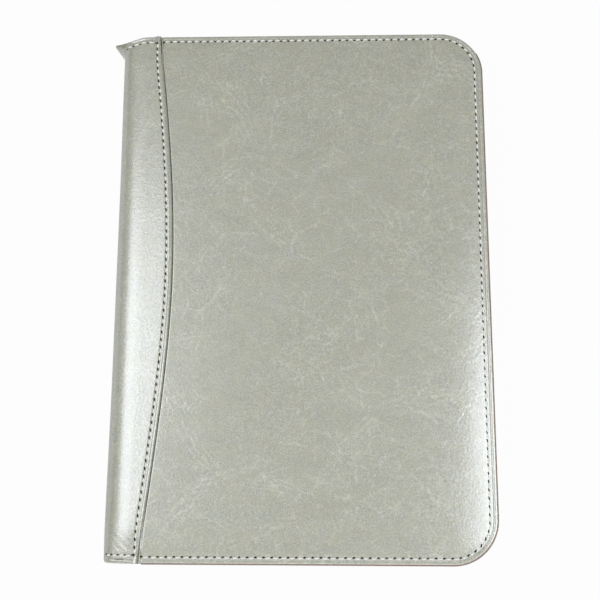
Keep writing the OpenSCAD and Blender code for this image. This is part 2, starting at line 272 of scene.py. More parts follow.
def grid_faces(rows, cols, wrap=False):
    """Quads of a grid of points in row order; wrap joins the last column to the first."""
    i = np.arange(rows - 1)[:, None] * cols
    j = np.arange(cols if wrap else cols - 1)[None, :]
    k = (j + 1) % cols
    return np.stack(np.broadcast_arrays(i + j, i + k, i + cols + k, i + cols + j), -1).reshape(-1, 4)


def repeat_faces(faces, copies, size):
    """Faces of a template, repeated for copies that have size points each."""
    return [[i + k * size for i in f] for k in range(copies) for f in faces]


def mesh_object(name, points, faces, material, sharp=None):
    mesh = bpy.data.meshes.new(name)
    corners = [[int(i) for i in f] for f in faces]
    mesh.from_pydata(np.asarray(points).reshape(-1, 3).tolist(), [], corners)
    mesh.polygons.foreach_set("use_smooth", [True] * len(mesh.polygons))
    if sharp is not None:
        mesh.set_sharp_from_angle(angle=math.radians(sharp))
    mesh.materials.append(material)
    obj = bpy.data.objects.new(name, mesh)
    bpy.context.scene.collection.objects.link(obj)
    return obj


def close_mesh(obj, sharp):
    """Joins coincident points, fills open ends, turns the faces outwards and marks sharp edges."""
    bm = bmesh.new()
    bm.from_mesh(obj.data)
    bmesh.ops.remove_doubles(bm, verts=bm.verts, dist=JOIN_DIST)
    bmesh.ops.dissolve_degenerate(bm, edges=bm.edges, dist=LEAST_EDGE)
    bmesh.ops.holes_fill(bm, edges=[e for e in bm.edges if e.is_boundary], sides=0)
    bmesh.ops.recalc_face_normals(bm, faces=bm.faces)
    for f in bm.faces:
        f.smooth = True
    bm.to_mesh(obj.data)
    bm.free()
    obj.data.set_sharp_from_angle(angle=math.radians(sharp))


# Outline of a cover and the bowed edge of the spine panel

def seam_x(y):
    bow = seam_mid - SEAM_SLOPE * (np.hypot(np.asarray(y) - SEAM_SHIFT, SEAM_ROUND) - SEAM_ROUND)
    return bow + SEAM_SET * ramp(np.abs(y), head - SEAM_SET_LEN, SEAM_SET_LEN)


def cover_leg(y, x0, x1, coarse):
    """Places along the head or the tail, lined up with the lapped edge where the sheet begins behind it."""
    steps = float(seam_x(y)) + SEAM_STEPS
    count = LEG_POINTS // coarse
    if x0 > steps[0]:
        return np.linspace(x0, x1, count, endpoint=False)
    under = np.linspace(x0, steps[0], UNDER_POINTS, endpoint=False)
    beyond = np.linspace(steps[-1], x1, count, endpoint=False)
    return np.concatenate([under, steps[:-1], beyond])


def cover_ring(inset, x0, coarse=1):
    """Outline of a cover at an inset: along the tail, up the fore edge and back along the head."""
    x1, y1 = fore - inset, head - inset
    r = min(max(CORNER_R - inset, LEAST_CORNER), y1)
    tail_x, head_x = (cover_leg(side * y1, x0, x1 - r, coarse) for side in (-1, 1))
    turn = np.linspace(0, math.pi / 2, ARC_POINTS // coarse, endpoint=False)
    side = np.linspace(-y1 + r, y1 - r, SIDE_POINTS // coarse, endpoint=False)
    stretches = (
        (tail_x, np.full_like(tail_x, -y1)),
        (x1 - r + r * np.sin(turn), -y1 + r - r * np.cos(turn)),
        (np.full_like(side, x1), side),
        (x1 - r + r * np.cos(turn), y1 - r + r * np.sin(turn)),
        ([x1 - r], [y1]),
        (head_x[::-1], np.full_like(head_x, y1)),
    )
    return np.concatenate([np.stack(stretch, -1) for stretch in stretches])


def cover_outward():
    """Directions out of a cover at each point of its outline."""
    return unit(cover_ring(0, cover_x) - cover_ring(1 * MM, cover_x))


# Skins of the covers

def hem_depth(inset):
    """How far the leather's face lies below the crown of the cover at an inset from its edge."""
    pillow = PILLOW_DROP * np.exp(-inset / PILLOW_REACH)
    valley = HEM_VALLEY * bell(inset, STITCH_INSET, HEM_VALLEY_W)
    groove = GROOVE_DEPTH * bell(inset, GROOVE_INSET, GROOVE_W)
    return pillow + valley + groove


def soft_waves(x, y):
    """Slow unevenness of leather over a board, about a tenth of a millimetre."""
    crossed = np.sin(x * 61 + 1.3) * np.sin(y * 47 + 0.4)
    slanted = np.sin(x * 103 - y * 71 + 2.1) * 0.6
    steep = np.sin(x * 37 + y * 129 + 0.7) * 0.5
    return WAVE_HEIGHT * (crossed + slanted + steep)


def cover_section():
    """Insets and depths across a cover's skin: crown, hem, rolled edge, turn-in and inner face.
    Also how far the bare edge below the roll stands out, and its rows of faces."""
    crown = np.linspace(head, 16 * MM, 22)
    slope = np.linspace(15 * MM, 5 * MM, 14)
    hem = np.linspace(4.8 * MM, 1.35 * MM, 22)
    outer = np.concatenate([crown, slope, hem])
    start = float(hem_depth(hem_roll))
    rise = (hem_t - start) / 2
    angle = np.radians(np.linspace(80, -90, 11))
    lip = LIP_OUT * bell(angle, math.radians(-25), math.radians(35))
    turn_in = np.array([2.2, 3.4, 4.6, 5.4, 5.6, 5.65]) * MM
    turn_z = np.array([2.6, 2.6, 2.6, 2.58, 2.4, 1.3]) * MM
    inner = np.linspace(6.2 * MM, head, 10)
    insets = np.concatenate([outer, hem_roll - hem_roll * np.cos(angle), turn_in, inner])
    lips = np.concatenate([np.zeros(len(outer)), lip, np.zeros(len(turn_in) + len(inner))])
    roll_z = start + rise - rise * np.sin(angle)
    depths = np.concatenate([hem_depth(outer), roll_z, turn_z, LEATHER_T + hem_depth(inner)])
    bare = (len(outer) + 2, len(outer) + len(angle))
    return insets, depths, lips, bare


def seam_gap(inset, depth):
    """Depth of the groove beside the lapped edge, no deeper than the leather over the board."""
    if inset < HEM_W + LEAST_GAP:
        return SEAM_GAP
    return min(SEAM_GAP, max(LEATHER_T - LEAST_LEATHER - depth, LEAST_GAP))


def cover_skin(name, face_z, up, node, body):
    """Skin of the cover on the side up, with its crown at the height face_z.
    The bare edge shows from the seam along the tail and up the fore edge, until that turns to the head."""
    insets, depths, lips, bare = cover_section()
    outward = cover_outward()
    shown = (outward[:, 1] < BARE_TURN) & (cover_ring(0, cover_x)[:, 0] > seam_x(-head) + BARE_FROM)
    rows = []
    for inset, depth, lip in zip(insets, depths, lips):
        ring = cover_ring(inset, cover_x) + outward * (lip * shown)[:, None]
        x, y = ring[:, 0], ring[:, 1]
        beyond = x - seam_x(y)
        sink = LAP_SINK * ramp(-beyond, LAP_SINK_FROM, LAP_SINK_LEN)
        sink += LAP_FALL * np.clip(-beyond - LAP_FALL_FROM, 0, None)
        sink += seam_gap(inset, depth) * bell(beyond, SEAM_GAP_AT, SEAM_GAP_W)
        sink += LAP_DIP[up] * np.exp(-np.clip(beyond, 0, None) / DIP_REACH)
        wave = soft_waves(x, y) * smoothstep(inset / WAVE_FROM_EDGE)
        share = 1 - np.clip(depth / hem_t, 0, 1)
        rows.append(np.stack([x, y, face_z - up * (depth + (sink - wave) * share)], -1))
    points = np.stack(rows)
    obj = mesh_object(name, points, grid_faces(*points.shape[:2]), LEATHER)
    obj.data.materials.append(BARE_EDGE)
    face_row = np.arange(points.shape[0] - 1)[:, None]
    on_edge = (face_row >= bare[0]) & (face_row < bare[1]) & shown[None, :-1]
    obj.data.polygons.foreach_set("material_index", on_edge.astype(int).ravel())
    close_mesh(obj, 60)
    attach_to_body(obj, body)
    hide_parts(node)


# Soft spine

def spine_hem(inset, x):
    """Depth of the spine's hem, which hardly sinks along the spine's outermost line."""
    return hem_depth(inset) * (SPINE_HEM_LEAST + (1 - SPINE_HEM_LEAST) * smoothstep(x / SPINE_HEM_RISE))


def spine_round(up, limit, count):
    """Even points across the round of half the spine, up to a limit in from its outermost line:
    distances in, heights from its middle, and the length of the round."""
    reach, power_x, power_z = SPINE_SHAPE[up]
    t = np.linspace(0, math.pi / 2, 400)
    x = reach * (1 - np.cos(t).clip(0) ** (2 / power_x))
    z = mid_z * np.sin(t) ** (2 / power_z)
    section = np.stack([x, z], -1)[x <= limit]
    length = arc_length(section)
    even = at_lengths(section, length, np.linspace(0, length[-1], count))
    return even[:, 0], even[:, 1], float(length[-1])


def spine_height(x, up):
    """Height of the spine's outer face from its middle at a distance in from the spine."""
    reach, power_x, power_z = SPINE_SHAPE[up]
    share = np.clip((reach - x) / reach, 0, 1)
    return mid_z * (1 - share ** power_x) ** (1 / power_z)


def lap_swell(inset, up):
    """Height of the lapped edge over the panel: a roll drawn up beside the valley under the stitches."""
    swell = LAP_LIFT[up] * bell(inset, LAP_SWELL_AT, LAP_SWELL_W)
    return swell - VALLEY_DEPTH * bell(inset, SEAM_STITCH, VALLEY_W)


def fall_share(y):
    """The panel's fall fades at the head and the tail, where the hems hold it."""
    return smoothstep((head - np.abs(y)) / LAP_FALL_END)


def lap_fall(x, edge, up):
    """Fall of the lapped panel from its bowed edge towards the spine, none at the middle of the spine."""
    return LAP_FALL * np.clip(edge - LAP_FALL_FROM - x, 0, None) * spine_height(x, up) / mid_z


def spine_profile(y, up):
    """Outer face across half the spine at places y along it: x and height from the middle."""
    round_x, round_z, _ = spine_round(up, SPINE_ROUND, 60)
    edge_rise = lap_swell(EDGE_STEPS, up) - LAP_DROP * (1 - quarter_round(EDGE_STEPS / LAP_ROLL))
    rows_x, rows_z = [], []
    for share, edge in zip(fall_share(y), seam_x(y) - spine_x):
        flat_x = np.linspace(SPINE_ROUND, edge - EDGE_STEPS[0], 8)[1:-1]
        lap_x = edge - EDGE_STEPS
        x = np.concatenate([round_x, flat_x, lap_x])
        z = np.concatenate([round_z, spine_height(flat_x, up), spine_height(lap_x, up) + edge_rise])
        rows_x.append(x)
        rows_z.append(z - share * lap_fall(x, edge, up))
    return np.stack(rows_x), np.stack(rows_z)


def section_normals(x, z):
    """Unit normals across rows of section points, looking out of the spine and up."""
    dx, dz = np.gradient(x, axis=1), np.gradient(z, axis=1)
    size = np.hypot(dx, dz)
    return -dz / size, dx / size


def spine_rows():
    """Places along the spine, closer together at its hems."""
    ends = hem_roll * (1 - np.cos(np.radians(np.linspace(0, 90, 7))))
    hem = np.concatenate([ends, np.linspace(hem_roll * 1.1, 7 * MM, 24)])
    middle = np.linspace(-head + 7.8 * MM, head - 7.8 * MM, 250)
    return np.concatenate([-head + hem, middle, (head - hem)[::-1]])


def spine_loops(x, h, outer, inner, y, up):
    """Closed loops round sections of the spine at places y: along an outer depth, back along an inner one."""
    nx, nz = section_normals(x, h)
    loop_x = np.concatenate([x - nx * outer, (x - nx * inner)[:, ::-1]], 1)
    loop_h = np.concatenate([h - nz * outer, (h - nz * inner)[:, ::-1]], 1)
    return np.stack(np.broadcast_arrays(spine_x + loop_x, y[:, None], mid_z + up * loop_h), -1)


def ear_push(y, z):
    """How far the pinched hem at the head stands out, at a place on the spine."""
    along = np.clip(1 - (head - y) / EAR_LEN, 0, 1)
    ridge = EAR_Z - EAR_TILT * (head - y)
    across = np.clip(1 - np.abs(z - ridge) / EAR_HALF, 0, 1)
    return EAR_OUT * along * across ** EAR_POINT


def hand_shaped(points):
    """Moves places on the spine by the dog-ear, the hem drawn in beside it, the flare of both ends,
    and the dip and puckers at the tail."""
    x, y, z = (points[..., k] for k in range(3))
    inward, from_tail = x - spine_x, y + head
    upper = ramp(z, mid_z, UPPER_RISE)
    pull = HEAD_PULL * ramp(y, head - HEAD_PULL_LEN, HEAD_PULL_LEN) * (1 - smoothstep(inward / HEAD_PULL_W))
    flare = FLARE * ramp(np.abs(y), FLARE_FROM, FLARE_LEN) * (1 - smoothstep(inward / FLARE_W))
    dip = TAIL_DIP * smoothstep((TAIL_DIP_FROM - from_tail) / TAIL_DIP_LEN)
    dip *= smoothstep((TAIL_DIP_W - inward) / TAIL_DIP_EDGE)
    near = bell(inward, PUCKER_AT[0], PUCKER_SIZE[0]) * bell(from_tail, PUCKER_AT[1], PUCKER_SIZE[1])
    across = PUCKER_TURN[0] * inward + PUCKER_TURN[1] * from_tail
    pucker = PUCKER_DEPTH * np.sin(across * 2 * math.pi / PUCKER_WAVE) * near
    return np.stack([x - ear_push(y, z) - flare, y - pull * upper, z + (pucker - dip) * upper], -1)


def bend(obj):
    """Bakes the placement of a piece that wraps the spine between the spine and one cover into its mesh."""
    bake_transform(obj)


def spine_skin(name, up):
    """The half of the spine panel that laps the cover on the side up."""
    y = spine_rows()
    x, h = spine_profile(y, up)
    inset = (head - np.abs(y))[:, None]
    turned = smoothstep((HEM_W - inset) / SPINE_HEM_STEP + 0.5)
    lap = np.arange(x.shape[1]) >= x.shape[1] - len(EDGE_STEPS)
    thick = LEATHER_T + (SPINE_HEM_T - LEATHER_T) * np.where(lap[None, :], 0, turned)
    middle = spine_hem(inset, x) + thick / 2
    half = thick / 2 * quarter_round(inset / hem_roll)
    points = hand_shaped(spine_loops(x, h, middle - half, middle + half, y, up))
    obj = mesh_object(name, points, grid_faces(*points.shape[:2], wrap=True), LEATHER)
    close_mesh(obj, 50)
    bend(obj)
    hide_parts("spine_leather")


# Stitching: threads and needle pits, copied along a line

def thread_template(length):
    """One stitch along u, arched over the leather and dipping into its holes."""
    rings, sides = 9, 8
    t = np.linspace(0, 1, rings)
    u = (t - 0.5) * length
    arch = THREAD_ARCH * np.sin(math.pi * t) ** 0.7 - THREAD_SINK
    size = THREAD_R * (THREAD_THIN + (1 - THREAD_THIN) * np.sin(math.pi * t).clip(0) ** 0.45)
    a = np.arange(sides) * 2 * math.pi / sides
    v = size[:, None] * np.cos(a)[None, :]
    w = arch[:, None] + size[:, None] * THREAD_FLAT * np.sin(a)[None, :]
    tube = np.stack([np.broadcast_to(u[:, None], v.shape), v, w], -1).reshape(-1, 3)
    tips = np.array([[u[0] - THREAD_TIP, 0, arch[0]], [u[-1] + THREAD_TIP, 0, arch[-1]]])
    faces = grid_faces(rings, sides, wrap=True).tolist()
    first, last = rings * sides, (rings - 1) * sides
    for k in range(sides):
        after = (k + 1) % sides
        faces += [[first, after, k], [first + 1, last + k, last + after]]
    return np.concatenate([tube, tips]), faces


def hole_template():
    """Low almond-shaped cap, painted near-black to stand for the shade in the pit that the needle leaves."""
    sides = 10
    a = np.arange(sides) * 2 * math.pi / sides
    rim = np.stack([HOLE_HALF * np.cos(a), HOLE_WIDE * np.sin(a), np.full(sides, HOLE_RIM)], -1)
    crown = rim * [HOLE_CROWN, HOLE_CROWN, 0] + [0, 0, HOLE_SHOULDER]
    tips = [[0, 0, HOLE_TOP], [0, 0, HOLE_BOTTOM]]
    faces = grid_faces(2, sides, wrap=True).tolist()
    for k in range(sides):
        after = (k + 1) % sides
        faces += [[2 * sides, sides + k, sides + after], [2 * sides + 1, after, k]]
    return np.concatenate([rim, crown, tips]), faces


def copy_along(template, places, tangents, normals, slant, stretch):
    """Copies a template to each place: its u, times stretch, along the tangent turned by slant, and its w
    along the normal."""
    points, faces = template
    u = math.cos(slant) * tangents + math.sin(slant) * np.cross(normals, tangents)
    v = np.cross(normals, u)
    u = u * stretch[:, None]
    made = (places[:, None, :] + points[None, :, 0:1] * u[:, None, :]
            + points[None, :, 1:2] * v[:, None, :] + points[None, :, 2:3] * normals[:, None, :])
    return made.reshape(-1, 3), repeat_faces(faces, len(places), len(points))


class Seam:
    """Rows of stitches gathered into one thread piece and one piece of needle pits."""

    def __init__(self):
        self.points = {"threads": [], "holes": []}
        self.faces = {"threads": [], "holes": []}

    def row(self, line, normals, pitch=STITCH_PITCH, turn=1):
        """A row of stitches along a line of points with a normal at each.
        Needle pits are pulled longer in the rows that run along the book's height."""
        length = arc_length(line)
        count = max(int(round(length[-1] / pitch)), 1)
        step = length[-1] / count
        threads = (np.arange(count) + 0.5) * step, thread_template(step - THREAD_GAP), THREAD_SLANT, 0.0
        holes = np.arange(count + 1) * step, hole_template(), HOLE_SLANT, HOLE_PULL
        for kind, (at, template, slant, pull) in (("threads", threads), ("holes", holes)):
            place = at_lengths(line, length, at)
            normal = unit(at_lengths(normals, length, at))
            tangent = unit(at_lengths(line, length, at + step / 5) - at_lengths(line, length, at - step / 5))
            stretch = 1 + pull * np.abs(tangent[:, 1])
            aside = np.cross(normal, tangent) * turn * STITCH_ASIDE[kind]
            points, faces = copy_along(template, place + aside, tangent, normal, turn * slant, stretch)
            first = sum(len(p) for p in self.points[kind])
            self.points[kind].append(points)
            self.faces[kind] += [[i + first for i in f] for f in faces]

    def flat_row(self, line, up, pitch=STITCH_PITCH):
        """A row of stitches on a level face that looks up, where up is 1, or down."""
        self.row(line, np.tile([0.0, 0.0, up], (len(line), 1)), pitch, turn=up)

    def build(self, name, attach):
        for kind, material in (("threads", THREAD), ("holes", NEEDLE_PIT_SHADE)):
            obj = mesh_object(f"{name}_{kind}", np.concatenate(self.points[kind]), self.faces[kind], material)
            attach(obj)


def cover_stitches(name, face_z, up, body, inside_z):
    """Perimeter stitching of one cover, seen on its outer face and inside, at the height inside_z(x).
    The row runs closer to the edge at the head and the tail than along the fore edge."""
    ring = cover_ring(STITCH_INSET, cover_x)
    shift = END_SHIFT * ring[:, 1] / (head - STITCH_INSET)
    inset = STITCH_INSET - shift * cover_outward()[:, 1]
    x, y = ring[:, 0], ring[:, 1] + shift
    keep = x >= seam_x(y) + ROW_CLEAR
    x, y, inset = x[keep], y[keep], inset[keep]
    seam = Seam()
    seam.flat_row(np.stack([x, y, face_z - up * hem_depth(inset)], -1), up)
    seam.flat_row(np.stack([x, y, inside_z(x)], -1), -up)
    seam.build(name, lambda obj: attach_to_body(obj, body))


def spine_stitches(name, up):
    """Stitching of half the spine panel: along its bowed edge and along its two hems."""
    seam = Seam()
    y = np.linspace(-head + STITCH_INSET, head - STITCH_INSET, 400)
    edge = seam_x(y) - spine_x
    x = edge - SEAM_STITCH
    h = spine_height(x, up) + lap_swell(SEAM_STITCH, up) - fall_share(y) * lap_fall(x, edge, up)
    z = mid_z + up * (h - hem_depth(head - np.abs(y)))
    seam.flat_row(hand_shaped(np.stack([spine_x + x, y, z], -1)), up, SEAM_PITCH)
    for side in (-1, 1):
        row_y = np.array([side * (head - STITCH_INSET)])
        px, ph = spine_profile(row_y, up)
        nx, nz = section_normals(px, ph)
        depth = spine_hem(STITCH_INSET, px)
        px, ph, nx, nz = (px - nx * depth)[0], (ph - nz * depth)[0], nx[0], nz[0]
        keep = (px < seam_x(row_y)[0] - spine_x - SEAM_STITCH - HEM_ROW_CLEAR) & (ph > HEM_STITCH_FROM)
        line = np.stack([spine_x + px, np.full_like(px, row_y[0]), mid_z + up * ph], -1)
        normals = np.stack([nx, np.zeros_like(nx), up * nz], -1)
        seam.row(hand_shaped(line[keep]), normals[keep], turn=-up * side)
    seam.build(name, lambda obj: bend(obj))


# Linings and pockets

def sheet_section(thick, inset0):
    """Section of a thin sheet with a rounded edge: face, edge and back, as insets and heights."""
    face = np.concatenate([np.linspace(head, inset0 + 8 * MM, 14),
                           np.linspace(inset0 + 7 * MM, inset0 + 0.5 * MM, 16)])
    face_h = thick - SHEET_VALLEY * bell(face, STITCH_INSET, 0.7 * MM)
    angle = np.radians(np.linspace(80, -80, 7))
    edge = inset0 + thick / 2 - thick / 2 * np.cos(angle)
    edge_h = thick / 2 + thick / 2 * np.sin(angle)
    back = np.concatenate([[inset0 + 0.6 * MM], np.linspace(inset0 + 5 * MM, head, 6)])
    return np.concatenate([face, edge, back]), np.concatenate([face_h, edge_h, np.zeros(len(back))])


def lining_sheet(name, node, base_z, up, thick, inset0, x0, body, material, mouth=0.0):
    """A sheet glued inside a cover: its back lies at base_z and its face looks along up.
    mouth is the rise of the turned strip along its inner edge."""
    rows = []
    for inset, h in zip(*sheet_section(thick, inset0)):
        ring = cover_ring(inset, x0, coarse=2)
        x, y = ring[:, 0], ring[:, 1]
        fold = mouth * smoothstep((MOUTH_W - (x - x0)) / MOUTH_STEP)
        wave = 0.6 * soft_waves(x + 0.3, y) * smoothstep((inset - inset0) / (8 * MM))
        share = np.clip(h / thick, 0, 1)
        rows.append(np.stack([x, y, base_z + up * (h + (fold + wave) * share)], -1))
    points = np.stack(rows)
    obj = mesh_object(name, points, grid_faces(*points.shape[:2]), material)
    close_mesh(obj, 60)
    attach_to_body(obj, body)
    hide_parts(node)


def spine_lining(name, up):
    """Half of the lining that follows the inside of the spine."""
    lo, hi = node_box("spine_lining")
    x, h, width = spine_round(up, LINING_ROUND, 30)
    near = lo[0] - spine_x
    points = spine_loops(x[None, :], h[None, :], near, near + LINING_T, np.linspace(lo[1], hi[1], 120), up)
    obj = mesh_object(name, points, grid_faces(*points.shape[:2], wrap=True), LINING)
    close_mesh(obj, 50)
    bend(obj)
    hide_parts("spine_lining")


def sheet_places(low, high, count):
    """Places across a sheet, closer together at its two edges."""
    half = np.concatenate([[0, 0.12, 0.3], np.linspace(1, (high - low) / 2 / MM, count)]) * MM
    return np.unique(np.concatenate([low + half, high - half]))


def card_pocket(node):
    """A card slot: thin sheet with rolled edges and a turned, slightly thicker mouth."""
    lo, hi = node_box(node)
    gx, gy = np.meshgrid(sheet_places(lo[0], hi[0], 30), sheet_places(lo[1], hi[1], 24), indexing="ij")
    seam_in = np.minimum.reduce([gx - lo[0], hi[0] - gx, gy - lo[1]])
    soft = quarter_round(np.minimum(seam_in, hi[1] - gy) / CARD_EDGE)
    valley = SHEET_VALLEY * bell(seam_in, POCKET_STITCH, 0.6 * MM)
    mouth = CARD_MOUTH * smoothstep((CARD_MOUTH_W - (hi[1] - gy)) / CARD_MOUTH_STEP)
    thick = (hi[2] - lo[2]) * (CARD_EDGE_SHARE + (1 - CARD_EDGE_SHARE) * soft)
    face = hi[2] - thick + valley - mouth * soft
    back = np.stack([gx, gy, np.full_like(gx, hi[2])], -1)
    points = np.concatenate([back, np.stack([gx, gy, face], -1)[:, ::-1]], 1)
    obj = mesh_object(node + "_leather", points, grid_faces(*points.shape[:2], wrap=True), POCKET)
    close_mesh(obj, 60)
    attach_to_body(obj, "front_cover")
    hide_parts(node)


def pocket_stitches():
    """Stitching of the card slots and of the document pocket's mouth."""
    lines = []
    for node in CARD_POCKETS:
        lo, hi = node_box(node)
        left, right = lo[0] + POCKET_STITCH, hi[0] - POCKET_STITCH
        z, mouth_z = lo[2] + 0.1 * MM, lo[2]
        mouth_y = hi[1] - 2.6 * MM
        lowest = node == CARD_POCKETS[-1]
        next_y = lo[1] + POCKET_STITCH if lowest else hi[1] - CARD_STEP
        lines.append([(left, mouth_y, mouth_z), (right, mouth_y, mouth_z)])
        lines += [[(x, next_y, z), (x, mouth_y - 1 * MM, z)] for x in (left, right)]
        if lowest:
            lines.append([(left, next_y, z), (right, next_y, z)])
    x, z = pocket_lo[0] + 4.5 * MM, pocket_lo[2] - 0.2 * MM
    lines.append([(x, pocket_lo[1] + 1 * MM, z), (x, pocket_hi[1] - 1 * MM, z)])
    seam = Seam()
    for line in lines:
        seam.flat_row(np.array(line), -1, POCKET_PITCH)
    seam.build("pocket_stitches", lambda obj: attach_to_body(obj, "front_cover"))


# Paper

PAGE_W, PAGE_H = 148 * MM, 210 * MM
HOLE_EDGE, HOLE_R = 6.5 * MM, 3 * MM
HOLE_YS = [side * (35 + 19.05 * i) * MM for side in (-1, 1) for i in range(3)]
PAGE_CORNER = 3 * MM
PAGE_FULL = 0.86
STACK_RISE = 5.5 * MM
PAGE_TILT = math.asin(STACK_RISE / PAGE_W)
STACK_T = 4.3 * MM
LOOSE_FROM, LOOSE_T = 4.4 * MM, 0.6 * MM


def arc(x, y, radius, angles):
    return [(x + radius * math.cos(a), y + radius * math.sin(a)) for a in angles]


def page_template():
    """Points of a punched page, with small round fore corners and six holes, and the faces between two
    layers of these points."""
    corner_x, corner_y = PAGE_W - PAGE_CORNER, PAGE_H / 2 - PAGE_CORNER
    low = arc(corner_x, -corner_y, PAGE_CORNER, np.radians(np.linspace(-90, 0, 7)))
    high = arc(corner_x, corner_y, PAGE_CORNER, np.radians(np.linspace(0, 90, 7)))
    whole = np.linspace(0, 2 * math.pi, 28, endpoint=False)
    loops = [[(0, -PAGE_H / 2)] + low + high + [(0, PAGE_H / 2)]]
    loops += [arc(HOLE_EDGE, y, HOLE_R, whole) for y in HOLE_YS]
    triangles = tessellate_polygon([[Vector((x, y, 0)) for x, y in loop] for loop in loops])
    count = sum(len(loop) for loop in loops)
    faces = [t[::-1] for t in triangles] + [[count + i for i in t] for t in triangles]
    first = 0
    for loop in loops:
        ring = list(range(first, first + len(loop)))
        faces += [[a, b, b + count, a + count] for a, b in zip(ring, ring[1:] + ring[:1])]
        first += len(loop)
    return np.concatenate(loops), faces


def leaves(name, node, body, z0, height, count, spread):
    """A stack of punched pages from the height z0 on, each lying a little off the others."""
    flat, faces = page_template()
    lo, hi = node_box("page_block")
    c, s = math.cos(PAGE_TILT), math.sin(PAGE_TILT)
    block = (hi[2] - lo[2] - PAGE_W * s) / c
    pivot_x = hi[0] - block * s
    rng = np.random.default_rng(7)
    step = height / count
    points = []
    for k in range(count):
        shift = rng.uniform(-spread, spread, 2)
        x = flat[:, 0] - PAGE_W + min(shift[0], 0)
        y = flat[:, 1] + shift[1]
        for z in (z0 + k * step, z0 + (k + PAGE_FULL) * step):
            points.append(np.stack([pivot_x + x * c + z * s, y, lo[2] - x * s + z * c], -1))
    faces = repeat_faces(faces, count, 2 * len(flat))
    obj = mesh_object(name, np.concatenate(points), faces, PAPER, sharp=30)
    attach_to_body(obj, body)
    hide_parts(node)


# Materials

PATTERN_LEAN = math.radians(35)
# Painted shade along the spine's turns: how far in from the spine it reaches, and its greatest share
SPINE_SHADE_REACH = 5.5 * MM
SPINE_SHADE_SHARE = 0.78


def srgb(*levels):
    """Linear colour of an 8-bit screen colour."""
    shares = [level / 255 for level in levels]
    return tuple(s / 12.92 if s <= 0.04045 else ((s + 0.055) / 1.055) ** 2.4 for s in shares) + (1.0,)


